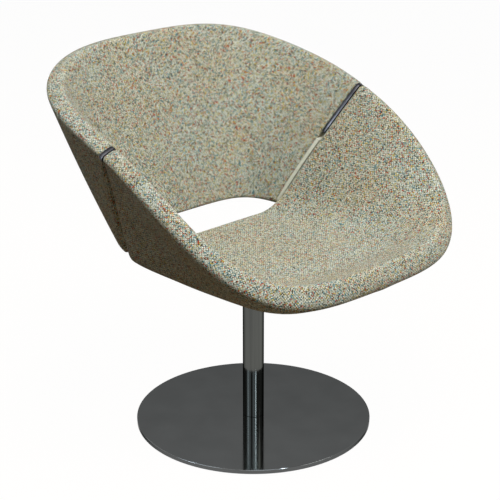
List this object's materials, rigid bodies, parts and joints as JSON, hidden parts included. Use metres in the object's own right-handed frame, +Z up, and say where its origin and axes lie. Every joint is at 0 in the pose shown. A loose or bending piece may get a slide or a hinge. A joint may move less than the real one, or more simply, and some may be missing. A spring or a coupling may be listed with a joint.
{
  "type": "pedestal swivel armchair",
  "caption": "Low tub armchair with an upholstered seat shell and back shell joined at the arms, turning on a round column that stands on a flat polished disc.",
  "frame": {"origin": "on the floor, on the column's axis, under the middle of the base disc", "axes": "+Z up along the column, the sitter faces -Y, +X to the sitter's left"},
  "size_m": [0.7326, 0.7099, 0.7885],
  "materials": {
    "polished_steel": "dark polished steel, nearly a mirror",
    "bright_steel": "turned bright steel",
    "zinc_steel": "zinc plated, satin",
    "black_steel": "black powder coat",
    "black_rubber": "matte moulded rubber",
    "pale_nylon": "moulded nylon",
    "tweed": "flecked wool tweed, coarse weave",
    "beech_ply": "bare moulded beech plywood"
  },
  "bodies": {
    "base": {"base_disc": "polished_steel", "floor_ring": "black_rubber", "column_tube": "polished_steel", "column_plug": "bright_steel", "foot_bolt": "zinc_steel", "upper_bush": "pale_nylon", "lower_bush": "pale_nylon", "thrust_washer": "black_steel"},
    "seat": {"swivel_spindle": "polished_steel", "retaining_ring": "black_steel", "seat_plate": "black_steel", "plate_bolt_1": "zinc_steel", "plate_bolt_2": "zinc_steel", "plate_bolt_3": "zinc_steel", "plate_bolt_4": "zinc_steel", "t_nut_1": "zinc_steel", "t_nut_2": "zinc_steel", "t_nut_3": "zinc_steel", "t_nut_4": "zinc_steel", "joint_plate_right": "polished_steel", "joint_plate_left": "polished_steel", "joint_stud_right_upper": "zinc_steel", "joint_stud_right_lower": "zinc_steel", "joint_stud_left_upper": "zinc_steel", "joint_stud_left_lower": "zinc_steel", "seat_insert_right_upper": "bright_steel", "seat_insert_right_lower": "bright_steel", "seat_insert_left_upper": "bright_steel", "seat_insert_left_lower": "bright_steel", "back_insert_right_upper": "bright_steel", "back_insert_right_lower": "bright_steel", "back_insert_left_upper": "bright_steel", "back_insert_left_lower": "bright_steel", "seat_core": "beech_ply", "seat_upholstery": "tweed", "back_core": "beech_ply", "back_upholstery": "tweed"}
  },
  "joints": [
    {"name": "seat_swivel", "type": "hinge", "parent": "base", "child": "seat", "pos_m": [0, 0, 0.334], "axis": [0, 0, 1], "continuous": true}
  ]
}
